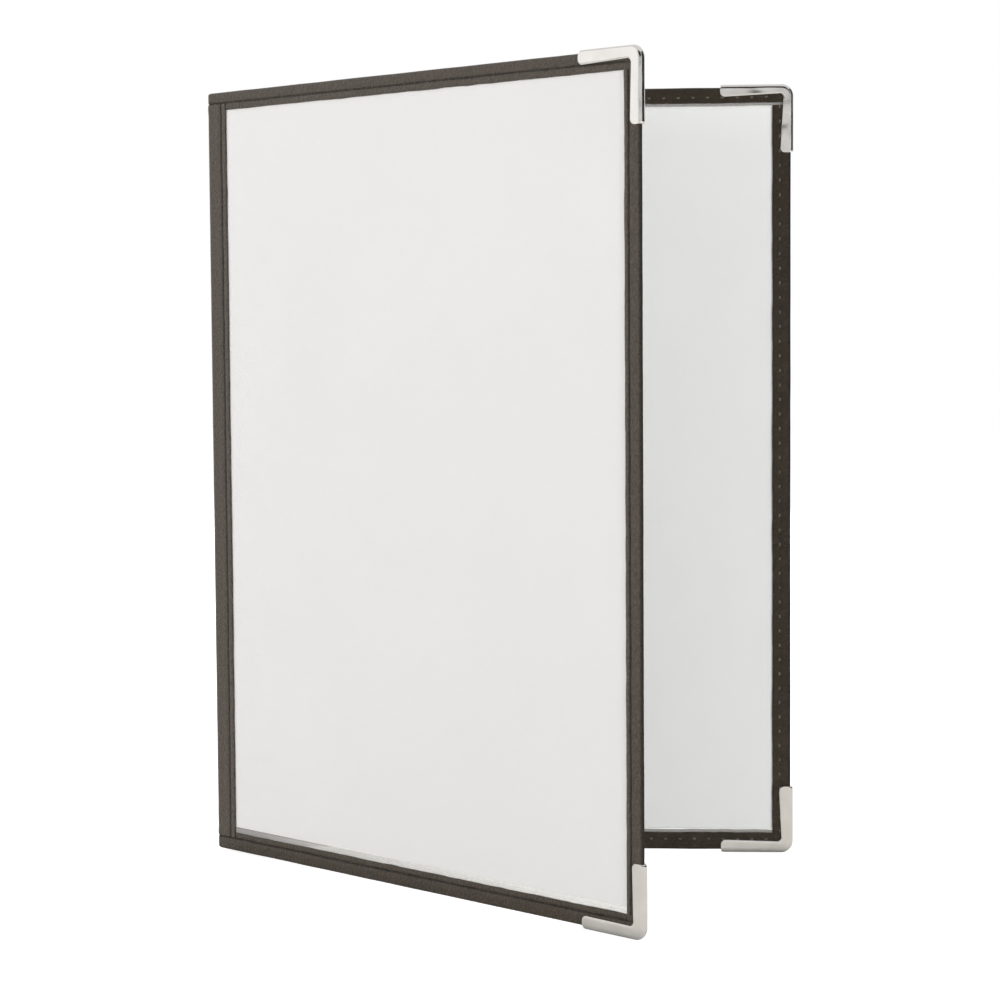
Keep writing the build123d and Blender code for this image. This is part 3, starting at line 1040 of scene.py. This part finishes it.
# %% Windows
card_height = 279.4
card_lift = {"back": 1.2, "front": 2.2}
sheet_inside = 0.17
swell_rise = 12.0
sheet_corner = 2.8
milk_share = 0.17
# On the front panel more milk, painted greyer, paints the shade between the panels towards the spine.
front_milk = {"s": [0, 60, 110, 222], "share": [0.40, 0.40, 0.19, 0.17]}
front_milk_lit = {"s": [0, 20, 38, 60, 150, 180], "milk_lit": [0.38, 0.41, 0.60, 0.87, 0.85, 1.0]}


def graded(start, first, last, end, counts):
    """Places from start to end in three stretches, each with its own count."""
    spans = zip((start, first, last), (first, last, end), counts)
    stretches = [np.linspace(a, b, count) for a, b, count in spans]
    return np.concatenate([stretches[0][:-1], stretches[1][:-1], stretches[2]])


def swelling(s, z, seed):
    """How far the sheet stands off at each place: nothing at the tapes, and up to 0.2 mm in the middle."""
    inside = np.clip((s - tape_width) / swell_rise, 0, 1)
    inside = inside * np.clip((panel_width - tape_width - s) / swell_rise, 0, 1)
    inside = inside * np.clip((z - tape_width) / swell_rise, 0, 1)
    inside = inside * np.clip((panel_height - tape_width - z) / swell_rise, 0, 1)
    swell = 0.10 + 0.05 * wave(s + 0.4 * z, 37.0, seed) + 0.05 * wave(z - 0.3 * s, 53.0, seed + 1)
    return inside * np.clip(swell, 0, None)


def round_corners(s, z, right, bottom, top):
    """The grid with its two free corners pulled in to a round."""
    past_s = np.clip(s - (right - sheet_corner), 0, None)
    for edge, sign in ((bottom, 1), (top, -1)):
        past_z = np.clip(sheet_corner - sign * (z - edge), 0, None)
        over = np.hypot(past_s, past_z) - sheet_corner
        push = np.where((past_s > 0) & (past_z > 0) & (over > 0), over, 0.0)
        angle = np.arctan2(past_z, past_s)
        s = s - push * np.cos(angle)
        z = z + sign * push * np.sin(angle)
    return s, z


def slab_faces(rows, columns):
    """Faces of two grids, one over the other, and of the rim between them."""
    count = rows * columns
    faces = []
    for i in range(rows - 1):
        for j in range(columns - 1):
            a, b = i * columns + j, i * columns + j + 1
            c, d = b + columns, a + columns
            faces.append((a, b, c, d))
            faces.append((a + count, d + count, c + count, b + count))
    border = list(range(columns)) + [i * columns + columns - 1 for i in range(1, rows)]
    border += [(rows - 1) * columns + j for j in range(columns - 2, -1, -1)]
    border += [i * columns for i in range(rows - 2, 0, -1)]
    for p, q in zip(border, border[1:] + border[:1]):
        faces.append((p, p + count, q + count, q))
    return faces


def milkiness(panel, s, z):
    """Where the two sheets touch beside the card, the share of milk there, and how light the milk is painted.
    """
    card_low = tape_width + card_lift[panel]
    card_high = card_low + card_height
    beside_card = np.minimum(z - card_low, np.minimum(card_high - z, panel_width - tape_width - s))
    hazy = 1 - np.clip((beside_card + 0.1) / 0.5, 0, 1)
    share, milk_lit = np.full_like(hazy, milk_share), np.ones_like(hazy)
    if panel == "front":
        share = np.interp(s, front_milk["s"], front_milk["share"])
        milk_lit = np.interp(s, front_milk_lit["s"], front_milk_lit["milk_lit"])
    return {"hazy": hazy, "clouded": share * hazy, "milk_lit": milk_lit}


def window(panel, name, low, high, side, seed):
    """A clear sheet between two levels, which swells to one side."""
    left, right, bottom, top = 0.3, panel_width - 0.7, 0.7, panel_height - 0.7
    s, z = np.meshgrid(graded(left, 10, right - 10, right, (9, 58, 13)),
                       graded(bottom, 12, top - 12, top, (25, 72, 25)))
    lift = side * swelling(s, z, seed)
    s, z = round_corners(s, z, right, bottom, top)
    points = [place(panel, s, level + lift, z).reshape(-1, 3) for level in (low, high)]
    milky = {key: np.concatenate([v.ravel(), v.ravel()]) for key, v in milkiness(panel, s, z).items()}
    return new_piece(f"{panel}_{name}_sheet", np.concatenate(points), slab_faces(*s.shape), **milky)


for index, panel in enumerate(panels):
    outer = window(panel, "outer", middle + sheet_inside, middle + half_stack, 1, 200 + index)
    inner = window(panel, "inner", middle - half_stack, middle - sheet_inside, -1, 210 + index)
    for piece, name in ((outer, "outer_window"), (inner, "inner_window")):
        piece.data.materials.append(vinyl)
        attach(piece, panels[panel]["body"])
        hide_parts(f"{panel}_{name}")
        print(piece.name, triangles(piece), "triangles")

# %% [markdown]
# ## Cards
#
# The sheet of paper in each pocket is stiff enough to stay flat, and rests a little above the bottom tape,
# with the room left that lets it slide in. A flat sheet needs nothing that its solid doesn't have, so the
# solid's own mesh is kept and only gets the paper.

# %% Cards
for panel in panels:
    card = frame["nodes"][f"{panel}_menu_card"]
    card.data.materials.clear()
    card.data.materials.append(paper)
    low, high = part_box(card.name)
    print(card.name, "stands from", round(1000 * low[2], 1), "to", round(1000 * high[2], 1), "mm")

# %% [markdown]
# ## The corner's outline
#
# A corner starts as a flat blank of thin steel that is pressed round the cover's corner: a rounded web along
# the edge, and a flange lying on each face. The legs are cut straight, with a small radius at the heel and a
# larger one at the tip, and the flanges widen a little towards their tips. The outline is walked from one tip
# round the bend to the other, and each station says where the rim is and where the flange ends.

# %% Corner outline
leg_end, leg_side = 28.0, 26.0
bend_radius, inner_radius, tip_radius, heel_radius = 4.5, 1.8, 1.8, 0.8
near_tip = np.array([0.0, 0.04, 0.12, 0.24, 0.4, 0.6, 0.8, 1.05, 1.35, 1.8])
past_tip = 2.4


def rounding(x, radius):
    """How far a rounding cuts back the outline, at a distance x from the leg's tip."""
    x = min(x, radius)
    return radius - math.sqrt(max(radius ** 2 - (radius - x) ** 2, 0.0))


def straight_leg(length, count, tip_flange, bend_flange, other_flange):
    """From a leg's tip to its bend: reach of rim and inner outline, flange width and heel cut."""
    rim_end = length - bend_radius
    inner_end = other_flange + inner_radius
    rows = []
    for x in np.concatenate([near_tip, np.linspace(past_tip, rim_end, count)]):
        inner_reach = length - x
        if x >= tip_radius:
            lead = inner_end - length + tip_radius
            inner_reach = (length - tip_radius) + lead * (x - tip_radius) / (rim_end - tip_radius)
        width = tip_flange + (bend_flange - tip_flange) * (length - inner_reach) / (length - other_flange)
        rows.append((length - x, inner_reach, width - rounding(x, tip_radius), rounding(x, heel_radius)))
    return rows


def rim_path(end_tip, end_bend, side_tip, side_bend):
    """Stations along the rim: rim point, inward direction, inner outline point, and the heel's cut."""
    rows = []
    end_leg = straight_leg(leg_end, 26, end_tip, end_bend, side_bend)
    for reach, inner_reach, width, heel in end_leg:
        rows.append(((reach, 0.0), (0.0, 1.0), (inner_reach, width), heel))
    for t in np.radians(np.linspace(0, 90, 19)[1:-1]):
        sine, cosine = math.sin(t), math.cos(t)
        rim = (bend_radius - bend_radius * sine, bend_radius - bend_radius * cosine)
        across = side_bend + inner_radius - inner_radius * sine
        down = end_bend + inner_radius - inner_radius * cosine
        rows.append((rim, (sine, cosine), (across, down), 0.0))
    side_leg = straight_leg(leg_side, 24, side_tip, side_bend, end_bend)
    for reach, inner_reach, width, heel in reversed(side_leg):
        rows.append(((0.0, reach), (1.0, 0.0), (width, inner_reach), heel))
    return rows


print("legs of", leg_end, "and", leg_side, "mm, with a bend of", bend_radius, "mm")

# %% [markdown]
# ## The corner's skin
#
# A hand press sets each corner a little differently, by some tenths of a millimetre. At each station a ring
# goes over the outer flange, round the web and back over the inner flange, and then through the inside,
# where the tape fills it. Swept along the outline, down one leg, round the bend and up the other, the rings
# close to one solid shell with the metal's thickness showing at the flanges' edges.

# %% Corners
flange_widths = (4.6, 3.9, 4.9, 4.2)
pressed_wider = {
    ("back", "top"): (0.1, -0.4, 0.2, -0.5), ("back", "bottom"): (0.5, 0.6, 0.6, 0.3),
    ("front", "top"): (0.5, 0.4, 0.0, 0.1), ("front", "bottom"): (0.25, 0.7, 0.2, 0.4),
}
half_corner, metal, web_round = 1.5, 0.5, 1.42
inside_round, inside_depth, inside_level = 0.9, 0.96, 0.895


def corner_ring(rim, into, inner, heel):
    """One ring of the corner: points across the corner, and their levels from the panel's middle."""
    rim, into, inner = np.array(rim), np.array(into), np.array(inner)
    base = rim + heel * into
    shoulder = base + web_round * into
    lean = (shoulder - inner) / max(np.linalg.norm(shoulder - inner), 1e-6)
    flange = [
        (inner, half_corner - metal), (inner, half_corner - 0.14),
        (inner + 0.05 * lean, half_corner - 0.04), (inner + 0.16 * lean, half_corner),
    ]
    flange += [(inner + share * (shoulder - inner), half_corner) for share in (0.3, 0.6, 0.9)]
    web = []
    for t in np.radians(np.linspace(90, -90, 17)):
        flat = np.sign(round(math.sin(t), 6)) * (half_corner - web_round)
        web.append((base + web_round * (1 - math.cos(t)) * into, web_round * math.sin(t) + flat))
    other_flange = [(across, -level) for across, level in reversed(flange)]
    inside = []
    for t in np.radians(np.linspace(-90, 90, 9)):
        depth = max(heel + 0.3, inside_depth) + inside_round * (1 - math.cos(t))
        inside.append((rim + depth * into, inside_level * math.sin(t)))
    return [(*across, level) for across, level in flange + web + other_flange + inside]


def metal_corner(panel, name, inward):
    """A pressed corner: a is counted from the free side, b from the end, both inward."""
    widths = [a + b for a, b in zip(flange_widths, pressed_wider[panel, name])]
    rings = np.array([corner_ring(*station) for station in rim_path(*widths)])
    a, b, level = rings[..., 0], rings[..., 1], rings[..., 2]
    z = (panel_height + proud - b) if inward < 0 else (b - proud)
    points = place(panel, panel_width + proud - a, middle + level, z)
    return new_piece(f"{panel}_{name}_metal_corner", points, ring_faces(*rings.shape[:2]), sharp=50.0)


for panel in panels:
    for name, inward in (("top", -1), ("bottom", 1)):
        piece = metal_corner(panel, name, inward)
        piece.data.materials.append(nickel)
        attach(piece, panels[panel]["body"])
        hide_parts(f"{panel}_{name}_corner")
        print(piece.name, triangles(piece), "triangles")

# %% [markdown]
# ## Lamps
#
# The cover stands in soft light. A large softbox at the left gives the front panel's leatherette its sheen,
# and low fills light the faces evenly from top to bottom. The fills aren't seen in gloss, so they leave no
# highlight on the vinyl or the metal.

# %% Lamps
aim = (0.0, 0.0, 0.15)
neutral = (1.0, 1.0, 1.0)


def softbox(name, position, size, power, colour=neutral):
    """A flat area lamp aimed at the cover."""
    lamp = bpy.data.lights.new(name, "AREA")
    lamp.shape = "RECTANGLE"
    lamp.size, lamp.size_y = size
    lamp.energy = power
    lamp.color = colour
    holder = bpy.data.objects.new(name, lamp)
    holder.location = position
    toward = Vector(np.array(aim) - np.array(position))
    holder.rotation_euler = toward.to_track_quat("-Z", "Y").to_euler()
    bpy.context.scene.collection.objects.link(holder)
    return holder


softbox("left_softbox", (-1.45, -0.10, 0.86), (1.6, 1.5), 3.0)
fills = [
    ("low_left_fill", (-1.3, -0.95, 0.30), (1.2, 0.5), 10.7, (1.0, 0.943, 0.94)),
    ("low_right_fill", (1.15, -1.50, 0.22), (1.0, 0.44), 22.4, neutral),
    ("right_fill", (1.6, 0.30, 0.55), (1.0, 1.0), 8.0, neutral),
    ("back_fill", (0.20, 1.70, 0.80), (1.4, 1.2), 16.0, neutral),
]
for fill in fills:
    softbox(*fill).visible_glossy = False

# %% [markdown]
# ## Dark cards
#
# Bright metal in a white room has nothing to mirror and looks like grey plastic. Photographers stand black
# card beside it, outside the picture, and its mirror images draw the dark lines that make metal look like
# metal. These two are seen in gloss only, so they take no light away.

# %% Dark cards
dark_material, add = node_material("dark_card")
finish_material(dark_material, add, add("ShaderNodeEmission", {"Color": (0.03, 0.03, 0.03, 1.0)}))
dark_cards = {
    "front_dark_card": [(-1.3, -2.2, 0.64), (1.5, -2.2, 0.64), (1.5, -2.2, 2.8), (-1.3, -2.2, 2.8)],
    "right_dark_card": [(1.6, -1.5, 0.03), (1.6, 0.7, 0.03), (1.6, 0.7, 1.8), (1.6, -1.5, 1.8)],
}


def flat_sheet(name, corners, material):
    """A flat sheet of the studio through four corners."""
    mesh = bpy.data.meshes.new(name)
    mesh.from_pydata(corners, [], [(0, 1, 2, 3)])
    mesh.materials.append(material)
    sheet = bpy.data.objects.new(name, mesh)
    bpy.context.scene.collection.objects.link(sheet)
    return sheet


for name, corners in dark_cards.items():
    card = flat_sheet(name, corners, dark_material)
    card.visible_camera = False
    card.visible_diffuse = False
    card.visible_shadow = False
    card.visible_transmission = False
    card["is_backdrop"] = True
    print(card.name, "stands at", corners[0])

# %% [markdown]
# ## The room
#
# The backdrop is white to whatever looks at it: the camera, a mirror image, or a look through something
# clear. To everything else the room is much dimmer, so that the lamps can stay low enough for the paper to
# keep its tone. A Light Path node tells the two apart.

# %% The room
room_light, white_light = 0.40, (*neutral, 1.0)


def either(add, a, b):
    """1 where one of the two is 1."""
    return maths(add, "MAXIMUM", a, b)


world = bpy.data.worlds.new("studio")
bpy.context.scene.world = world
world.use_nodes = True
world.node_tree.nodes.clear()
add = node_adder(world.node_tree)
path = add("ShaderNodeLightPath").outputs
seen = either(add, either(add, path["Is Camera Ray"], path["Is Glossy Ray"]), path["Is Transmission Ray"])
room = add("ShaderNodeBackground", {"Color": white_light, "Strength": room_light})
white = add("ShaderNodeBackground", {"Color": white_light, "Strength": 1.0})
backdrop = add("ShaderNodeMixShader", {"Fac": seen, 1: room.outputs[0], 2: white.outputs[0]})
add("ShaderNodeOutputWorld", {"Surface": backdrop.outputs[0]})
print("the room lights with", room_light, "of the backdrop's white")

# %% [markdown]
# ## The table
#
# The table is matt white and keeps the cover's soft shadow. A glow that only the camera sees lifts it to the
# white of the backdrop. In the mirror images of the metal it glows less and a little warmer, and close to
# the cover it fades to nothing, as a table does in the narrow gap under something that stands on it. That
# draws the dark edge under the bottom corners.

# %% The table
camera_glow, mirror_glow, gap = 0.74, 0.42, 0.02
table_reach = 4
table_material, add = node_material("white_table")
matt = add("ShaderNodeBsdfDiffuse", {"Color": (0.80, 0.80, 0.80, 1.0)})
path = add("ShaderNodeLightPath").outputs
straight = either(add, path["Is Camera Ray"], path["Is Transmission Ray"])
glow = add("ShaderNodeEmission", {
    "Color": white_light, "Strength": maths(add, "MULTIPLY", straight, camera_glow)})
# Painted contact shade: the glow seen in the metal fades where the cover stands close over the table.
near = add("ShaderNodeAmbientOcclusion", {"Distance": gap}, samples=2)
open_air = ramp(add, near.outputs["AO"], (0.5, 0.0), (0.9, 1.0))
mirrored = maths(add, "MULTIPLY", maths(add, "MULTIPLY", path["Is Glossy Ray"], open_air), mirror_glow)
warm = add("ShaderNodeEmission", {"Color": (1.0, 0.965, 0.86, 1.0), "Strength": mirrored})
lit = add("ShaderNodeAddShader", {0: matt.outputs[0], 1: glow.outputs[0]})
finish_material(table_material, add, add("ShaderNodeAddShader", {0: lit.outputs[0], 1: warm.outputs[0]}))
table_corners = [(x * table_reach, y * table_reach, 0) for x, y in ((-1, -1), (1, -1), (1, 1), (-1, 1))]
table = flat_sheet("table", table_corners, table_material)
table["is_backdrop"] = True
bpy.context.scene.view_settings.view_transform = "Standard"
print("the table is", table.dimensions[0], "m wide")

# %% [markdown]
# ## Camera
#
# The picture is taken from just above the middle of the cover, a metre away, with a longish lens. The place
# and the turn were solved from the cover's own edges, so the drawing of the panels matches the photograph.

# %% Camera
focal_pixels, picture_pixels, sensor_width = 2577.26, 1000, 36.0
camera_place = (0.06474, -0.92467, 0.20492)
yaw, pitch, roll = math.radians(-3.7507), math.radians(-3.8303), math.radians(-0.3976)
forward = np.array([math.sin(yaw) * math.cos(pitch), math.cos(yaw) * math.cos(pitch), math.sin(pitch)])
level_right = np.array([math.cos(yaw), -math.sin(yaw), 0.0])
level_up = np.cross(level_right, forward)
right = math.cos(roll) * level_right + math.sin(roll) * level_up
up = -math.sin(roll) * level_right + math.cos(roll) * level_up
turned = np.column_stack([right, up, -forward])
lens = bpy.data.cameras.new("camera")
lens.sensor_width = sensor_width
lens.lens = focal_pixels / picture_pixels * sensor_width
lens.clip_end = 20.0
camera = bpy.data.objects.new("camera", lens)
camera.matrix_world = Matrix.Translation(camera_place) @ Matrix(turned.tolist()).to_4x4()
bpy.context.scene.collection.objects.link(camera)
bpy.context.scene.camera = camera
print("lens", round(lens.lens, 2), "mm")

# %% [markdown]
# ## Check and finish
#
# How much the dressed cover stands proud of the solids is worked out from both boxes and printed.
# The dressed cover may stand only a little proud of the solids.

# %% Finish
dressed_box = as_list(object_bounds())
grown = np.ptp(dressed_box, axis=0) - np.ptp(cad_box, axis=0)
print("the dressed cover is larger by", (grown / MM).round(2).tolist(), "mm")
